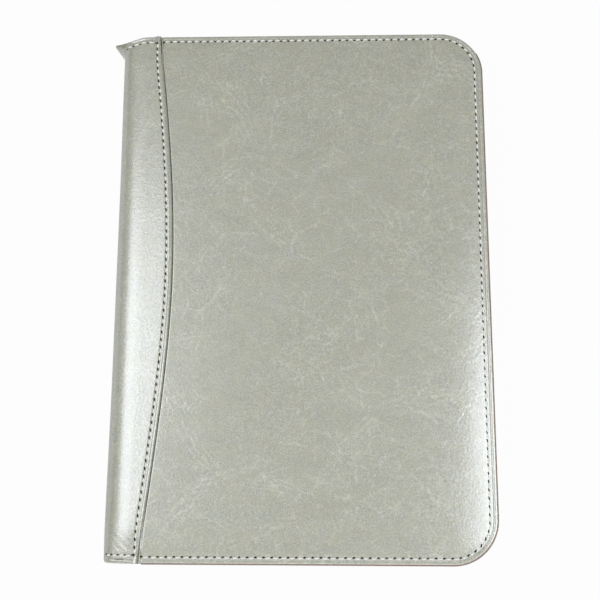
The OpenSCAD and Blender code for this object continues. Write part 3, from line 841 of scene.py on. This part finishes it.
class Nodes:
    """Short hand for building a material's node tree."""

    def __init__(self, name):
        self.material = bpy.data.materials.new(name)
        self.material.use_nodes = True
        self.tree = self.material.node_tree
        self.shader = self.tree.nodes["Principled BSDF"]
        self.coords = self.tree.nodes.new("ShaderNodeTexCoord").outputs["Object"]

    def put(self, socket, value):
        """Sets a socket to a number or a colour, or links another socket to it."""
        if isinstance(value, (int, float, tuple)):
            socket.default_value = value
        else:
            self.tree.links.new(value, socket)

    def node(self, kind, inputs=None, **settings):
        """A new node with its settings, and its inputs set or linked."""
        n = self.tree.nodes.new(kind)
        for key, value in settings.items():
            setattr(n, key, value)
        for key, value in (inputs or {}).items():
            self.put(n.inputs[key], value)
        return n

    def noise(self, scale, detail=3.0, rough=0.55, coords=None):
        inputs = {"Vector": coords or self.coords, "Scale": scale, "Detail": detail, "Roughness": rough}
        return self.node("ShaderNodeTexNoise", inputs).outputs["Fac"]

    def ridges(self, scale, detail, rough, coords):
        """Noise of sharp crests, about 0 to 2."""
        inputs = {"Vector": coords, "Scale": scale, "Detail": detail, "Roughness": rough,
                  "Offset": 1.0, "Gain": 2.0}
        return self.node("ShaderNodeTexNoise", inputs,
                         noise_type="RIDGED_MULTIFRACTAL", normalize=False).outputs["Fac"]

    def cells(self, scale):
        """Soft round pads."""
        inputs = {"Vector": self.coords, "Scale": scale}
        return self.node("ShaderNodeTexVoronoi", inputs, feature="SMOOTH_F1").outputs["Distance"]

    def cell_edges(self, scale, coords):
        """Distance from the edges of a flat pattern of cells, in cells."""
        return self.node("ShaderNodeTexVoronoi", {"Vector": coords, "Scale": scale},
                         feature="DISTANCE_TO_EDGE", voronoi_dimensions="2D").outputs["Distance"]

    def leaning(self, x, y):
        """Places moved by x and y on a plane that leans between the covers and the side of the spine."""
        inputs = {"Vector": self.coords, "Location": (x, y, 0), "Rotation": (0, PATTERN_LEAN, 0)}
        return self.node("ShaderNodeMapping", inputs).outputs["Vector"]

    def stretched(self, x, y, z, coords=None):
        inputs = {"Vector": coords or self.coords, "Scale": (x, y, z)}
        return self.node("ShaderNodeMapping", inputs).outputs["Vector"]

    def vector(self, operation, inputs):
        return self.node("ShaderNodeVectorMath", inputs, operation=operation).outputs[0]

    def warped(self, scale, amount, coords=None):
        """Places moved about by noise of a scale, by up to half an amount each way."""
        coords = coords or self.coords
        noise = self.node("ShaderNodeTexNoise", {"Vector": coords, "Scale": scale, "Detail": 2.0})
        shift = self.vector("SUBTRACT", {0: noise.outputs["Color"], 1: (0.5, 0.5, 0.5)})
        return self.vector("ADD", {0: coords, 1: self.vector("SCALE", {0: shift, "Scale": amount})})

    def creases(self, scale, width, strands, shift, bare):
        """Branching creases made of bundles of fine lines, left out where a noise is below bare."""
        place = self.warped(28, 0.018, self.leaning(*shift))
        edge = self.cell_edges(scale, self.warped(260, 0.003, place))
        strand = self.math("PINGPONG", self.math("MULTIPLY", edge, strands), 0.5)
        line = self.math("MULTIPLY", self.remap(edge, width, 0.0), self.remap(strand, 0.35, 0.05, 0.08, 1.1))
        some = self.remap(self.noise(scale * 1.7, 2.0, 0.5, place), bare, bare + 0.15)
        broken = self.remap(self.noise(420, 2.0), 0.35, 0.6, 0.1, 1.0)
        return self.math("MULTIPLY", line, self.math("MULTIPLY", some, broken))

    def fine_net(self, scale):
        """Thin broken lines between small pads of leather."""
        place = self.warped(60, 0.01, self.leaning(0, 0))
        line = self.remap(self.cell_edges(scale, self.warped(500, 0.002, place)), 0.09, 0.0)
        some = self.remap(self.noise(30, 2.0, 0.5, place), 0.35, 0.62)
        broken = self.remap(self.noise(300, 2.0), 0.38, 0.6)
        return self.math("MULTIPLY", line, self.math("MULTIPLY", some, broken))

    def painted_spine_shade(self):
        """Share of painted shade along the spine's two turns: a darker tone that stands in for the dimmer
        light where the leather turns down at the sides.
        """
        place = self.node("ShaderNodeSeparateXYZ", {"Vector": self.coords}).outputs
        across = self.remap(place["X"], spine_x + SPINE_SHADE_REACH, spine_x, 0.0, SPINE_SHADE_SHARE)
        from_middle = self.math("ABSOLUTE", self.math("SUBTRACT", place["Z"], mid_z), 0.0)
        return self.math("MULTIPLY", across, self.remap(from_middle, 0.5 * MM, 5 * MM))

    def remap(self, value, a, b, low=0.0, high=1.0):
        inputs = {"Value": value, "From Min": a, "From Max": b, "To Min": low, "To Max": high}
        return self.node("ShaderNodeMapRange", inputs).outputs["Result"]

    def math(self, operation, a, b):
        return self.node("ShaderNodeMath", {0: a, 1: b}, operation=operation).outputs[0]

    def mixed(self, layers):
        """Sum of layers, each times its share."""
        total = 0.0
        for layer, share in layers:
            total = self.math("ADD", self.math("MULTIPLY", layer, share), total)
        return total

    def blend(self, fac, a, b):
        """Mix of two colours, each a value or a socket."""
        return self.node("ShaderNodeMix", {0: fac, 6: a, 7: b}, data_type="RGBA").outputs[2]

    def bump(self, height, distance, strength, under=None):
        inputs = {"Height": height, "Distance": distance, "Strength": strength}
        if under is not None:
            inputs["Normal"] = under
        return self.node("ShaderNodeBump", inputs).outputs["Normal"]

    def finish(self, color, roughness, normal=None, others=None):
        """The material, with the inputs of its shader set or linked."""
        inputs = {"Base Color": color, "Roughness": roughness, "Normal": normal, **(others or {})}
        for key, value in inputs.items():
            if value is not None:
                self.put(self.shader.inputs[key], value)
        return self.material


def silver_leather():
    """Glossy grey waxed leather: bundles of creases, soft clouds, fine grain, warm mottling, and painted
    shade along the spine's turns.
    """
    n = Nodes("silver_leather")
    web = n.remap(n.ridges(330, 3.0, 0.65, n.stretched(0.8, 1.15, 1.0, n.warped(30, 0.03))), 1.2, 2.0)
    long_creases = n.creases(scale=15, width=0.11, strands=27.0, shift=(0.7, 0.2), bare=0.42)
    short_creases = n.creases(scale=38, width=0.13, strands=12.0, shift=(0.31, 0.31), bare=0.45)
    folds = n.mixed(((n.fine_net(150), 0.9), (short_creases, 1.0), (long_creases, 1.0)))
    cloud = n.noise(80, 4.0, 0.6, n.stretched(0.8, 1.4, 1.0))
    grain = n.noise(2000, 1.0, 0.6)
    tone = n.mixed(((folds, 0.75), (web, 0.26), (cloud, 0.8), (grain, 4.1)))
    base = n.blend(n.remap(tone, 2.225, 3.625), srgb(166, 170, 161), srgb(212, 215, 206))
    # Painted shade: the leather is darkened towards the spine's outermost line, where it turns down and less
    # light falls on it
    base = n.blend(n.painted_spine_shade(), base, srgb(98, 100, 92))
    warm = n.mixed(((n.noise(190, 3.0, 0.6), 0.3), (n.noise(900, 3.0, 0.75), 0.7)))
    base = n.blend(n.remap(warm, 0.38, 0.64, 0.0, 0.5), base, srgb(200, 194, 158))
    normal = n.bump(n.cells(1150), 0.16 * MM, 0.2)
    normal = n.bump(grain, 0.08 * MM, 0.08, normal)
    normal = n.bump(n.mixed(((web, 0.25), (folds, 1.0))), 0.2 * MM, 0.12, normal)
    normal = n.bump(n.noise(190, 4.0), 0.3 * MM, 0.03, normal)
    rough = n.remap(n.noise(300, 3.0), 0.3, 0.7, 0.25, 0.285)
    return n.finish(base, rough, normal, {"IOR": 2.45, "Specular Tint": (0.88, 0.925, 1.0, 1.0)})


def thread_material():
    n = Nodes("pale_thread")
    inputs = {"Vector": n.coords, "Scale": 900, "Distortion": 3.0, "Detail": 1.0}
    twist = n.node("ShaderNodeTexWave", inputs, wave_type="BANDS", bands_direction="DIAGONAL").outputs["Fac"]
    color = n.blend(twist, srgb(240, 240, 236), srgb(254, 254, 252))
    return n.finish(color, 0.55, n.bump(twist, 0.1 * MM, 0.6))


# Painted shade: a dark, matt cap stands in for the shade inside each needle pit
def pit_shade_material():
    n = Nodes("needle_pit_shade")
    color = n.blend(n.noise(900, 2.0), srgb(24, 24, 20), srgb(46, 46, 40))
    return n.finish(color, 0.95, others={"IOR": 1.2})


def fibre_material(name, dark, light, rough, low, *pattern):
    """Bare fibres, as on the brown cut edge of leather below a rolled hem, or on board."""
    n = Nodes(name)
    fibre = n.noise(*pattern)
    color = n.blend(n.remap(fibre, low, 0.7), dark, light)
    return n.finish(color, rough, n.bump(fibre, 0.1 * MM, 0.4))


def lining_material(name, dark, light, pads):
    """Matt lining: fine suede-like grain over small pads, with slow changes of tone."""
    n = Nodes(name)
    color = n.blend(n.remap(n.noise(30, 4.0), 0.3, 0.7), dark, light)
    grain = n.noise(2400, 3.0, 0.7)
    pale = tuple(min(c * 1.5, 1) for c in light)
    color = n.blend(n.math("MULTIPLY", n.remap(grain, 0.4, 0.7), 0.25), color, pale)
    normal = n.bump(n.cells(pads), 0.2 * MM, 0.45)
    normal = n.bump(grain, 0.1 * MM, 0.4, normal)
    return n.finish(color, n.remap(grain, 0.3, 0.7, 0.62, 0.8), normal)


def paper_material():
    n = Nodes("page_paper")
    fibre = n.noise(900, 4.0, 0.7)
    color = n.blend(n.remap(n.noise(60, 3.0), 0.3, 0.7), srgb(242, 238, 228), srgb(246, 243, 234))
    color = n.blend(n.math("MULTIPLY", n.remap(fibre, 0.5, 0.8), 0.2), color, srgb(222, 216, 200))
    return n.finish(color, 0.82, n.bump(fibre, 0.05 * MM, 0.3))


def metal_material(name, dark, light, rough):
    """Plated or rolled metal with fine lines drawn along the book's height, and faint smears."""
    n = Nodes(name)
    lines = n.noise(600, 3.0, 0.6, n.stretched(1, 0.05, 1))
    color = n.blend(n.remap(lines, 0.3, 0.7), dark, light)
    roughness = n.remap(n.noise(70, 4.0), 0.3, 0.7, rough * 0.75, rough * 1.35)
    return n.finish(color, roughness, n.bump(lines, 0.02 * MM, 0.35), {"Metallic": 1.0})


LEATHER = silver_leather()
THREAD = thread_material()
NEEDLE_PIT_SHADE = pit_shade_material()
BARE_EDGE = fibre_material("bare_leather_edge", srgb(128, 108, 98), srgb(164, 144, 134), 0.6, 0.3,
                           1400, 3.0, 0.7)
LINING = lining_material("grey_lining", srgb(118, 118, 112), srgb(140, 140, 133), 1500)
POCKET = lining_material("pocket_leather", srgb(132, 132, 125), srgb(154, 154, 146), 1100)
PAPER = paper_material()
NICKEL = metal_material("nickel_plate", srgb(206, 205, 201), srgb(228, 227, 223), 0.16)
STEEL = metal_material("spring_steel", srgb(170, 170, 170), srgb(196, 196, 195), 0.3)
BOARD = fibre_material("grey_board", srgb(150, 138, 116), srgb(178, 166, 142), 0.9, 0.35, 1200, 4.0, 0.75)

# Pieces

cover_skin("front_skin", front_z, 1, "front_leather", "front_cover")
cover_skin("back_skin", 0.0, -1, "back_leather", "back_cover")
spine_skin("spine_skin_front", 1)
spine_skin("spine_skin_back", -1)
for side, base_z, up in (("front", front_z - hem_t, -1), ("back", hem_t, 1)):
    lining_sheet(f"{side}_lining_sheet", f"{side}_lining", base_z, up, LINING_T, LINING_INSET, cover_x,
                 f"{side}_cover", LINING)
spine_lining("spine_lining_front", 1)
spine_lining("spine_lining_back", -1)
lining_sheet("document_pocket_leather", "document_pocket", float(pocket_hi[2]), -1,
             float(pocket_hi[2] - pocket_lo[2]), POCKET_INSET, float(pocket_lo[0]), "front_cover", POCKET,
             mouth=POCKET_MOUTH)
for pocket in CARD_POCKETS:
    card_pocket(pocket)
cover_stitches("front_stitches", front_z, 1, "front_cover",
               lambda x: np.where(x > pocket_lo[0], pocket_lo[2], front_z - hem_t - LINING_T))
cover_stitches("back_stitches", 0.0, -1, "back_cover", lambda x: np.full_like(x, hem_t + LINING_T))
spine_stitches("spine_stitches_front", 1)
spine_stitches("spine_stitches_back", -1)
pocket_stitches()
leaves("page_stack", "page_block", "back_cover", 0.0, STACK_T, count=30, spread=0.12 * MM)
leaves("loose_leaves", "top_sheets", "top_sheets", LOOSE_FROM, LOOSE_T, count=4, spread=0.1 * MM)

CAD_FINISH = (
    (NICKEL, ("ring_housing", "housing_rivets", "left_half_rings", "right_half_rings",
              "head_lever", "tail_lever")),
    (STEEL, ("rivet_washers", "lever_pins", "left_blade", "right_blade")),
    (BOARD, ("back_board", "front_board", "spine_stiffener")),
)
for material, nodes in CAD_FINISH:
    for node in nodes:
        slots = frame["nodes"][node].data.materials
        slots.clear()
        slots.append(material)

# Stage: white floor, three soft boxes and the camera of the photograph

FLOOR_HALF = 3.0
FLOOR_Z = -0.05 * MM
FLOOR_GLOW = 0.97
WORLD_LEVEL = 0.16


def floor():
    """Floor that looks white to the camera and in reflections, and still takes the object's shadow."""
    n = Nodes("white_floor")
    path = n.node("ShaderNodeLightPath").outputs
    seen = n.math("MAXIMUM", n.math("MAXIMUM", path["Is Camera Ray"], path["Is Glossy Ray"]),
                  path["Is Transmission Ray"])
    glow = n.node("ShaderNodeEmission", {"Color": (1, 1, 1, 1), "Strength": 1.0})
    share = n.math("MULTIPLY", seen, FLOOR_GLOW)
    mix = n.node("ShaderNodeMixShader", {0: share, 1: n.shader.outputs[0], 2: glow.outputs[0]})
    n.finish((0.5, 0.5, 0.5, 1.0), 0.9)
    n.put(n.tree.nodes["Material Output"].inputs["Surface"], mix.outputs[0])
    corners = [(x * FLOOR_HALF, y * FLOOR_HALF, FLOOR_Z) for x, y in ((-1, -1), (1, -1), (1, 1), (-1, 1))]
    mesh_object("floor", corners, [[0, 1, 2, 3]], n.material)


def world():
    """White surroundings for the camera, at a low level for everything that they light."""
    scene_world = bpy.data.worlds.new("studio")
    bpy.context.scene.world = scene_world
    scene_world.use_nodes = True
    tree = scene_world.node_tree
    back = tree.nodes["Background"]
    back.inputs["Color"].default_value = (1, 1, 1, 1)
    path = tree.nodes.new("ShaderNodeLightPath")
    level = tree.nodes.new("ShaderNodeMapRange")
    level.inputs["To Min"].default_value = WORLD_LEVEL
    tree.links.new(path.outputs["Is Camera Ray"], level.inputs["Value"])
    tree.links.new(level.outputs["Result"], back.inputs["Strength"])


def soft_box(name, place, aim, width, height, radiance):
    data = bpy.data.lights.new(name, "AREA")
    data.shape = "RECTANGLE"
    data.size, data.size_y = width, height
    data.energy = radiance * math.pi * width * height
    obj = bpy.data.objects.new(name, data)
    bpy.context.scene.collection.objects.link(obj)
    look = Vector(aim) - Vector(place)
    obj.rotation_euler = look.to_track_quat("-Z", "Y").to_euler()
    obj.location = place


floor()
world()
soft_box("left_box", (-0.55, 0.01, 0.69), (-0.06, -0.01, 0.02), width=0.58, height=0.62, radiance=3.5)
soft_box("right_box", (0.53, -0.12, 0.72), (0.06, -0.04, 0.02), width=0.48, height=0.52, radiance=4.4)
soft_box("tail_box", (0.0, -0.58, 0.50), (0.0, -0.08, 0.02), width=0.60, height=0.26, radiance=2.2)

# Camera fitted to the outline of the photographed binder
CAMERA_AZIMUTH = math.radians(8.67)
CAMERA_ELEVATION = math.radians(78.55)
CAMERA_ROLL = math.radians(-8.63)
CAMERA_DISTANCE = 0.4098
CAMERA_AIM = Vector((0.0001, -0.0061, 0.020))
CAMERA_LENS = 55.81
CAMERA_SENSOR = 36


def camera():
    data = bpy.data.cameras.new("photo_camera")
    data.lens = CAMERA_LENS
    data.sensor_width = CAMERA_SENSOR
    obj = bpy.data.objects.new("photo_camera", data)
    bpy.context.scene.collection.objects.link(obj)
    level, rise = math.cos(CAMERA_ELEVATION), math.sin(CAMERA_ELEVATION)
    away = Vector((math.sin(CAMERA_AZIMUTH) * level, -math.cos(CAMERA_AZIMUTH) * level, rise))
    right = (-away).cross(Vector((0, 0, 1))).normalized()
    up = right.cross(-away)
    c, s = math.cos(CAMERA_ROLL), math.sin(CAMERA_ROLL)
    right, up = c * right + s * up, c * up - s * right
    turn = Matrix((right, up, away)).transposed().to_4x4()
    obj.matrix_world = Matrix.Translation(CAMERA_AIM + CAMERA_DISTANCE * away) @ turn
    bpy.context.scene.camera = obj


camera()
bpy.context.scene.view_settings.view_transform = "Standard"
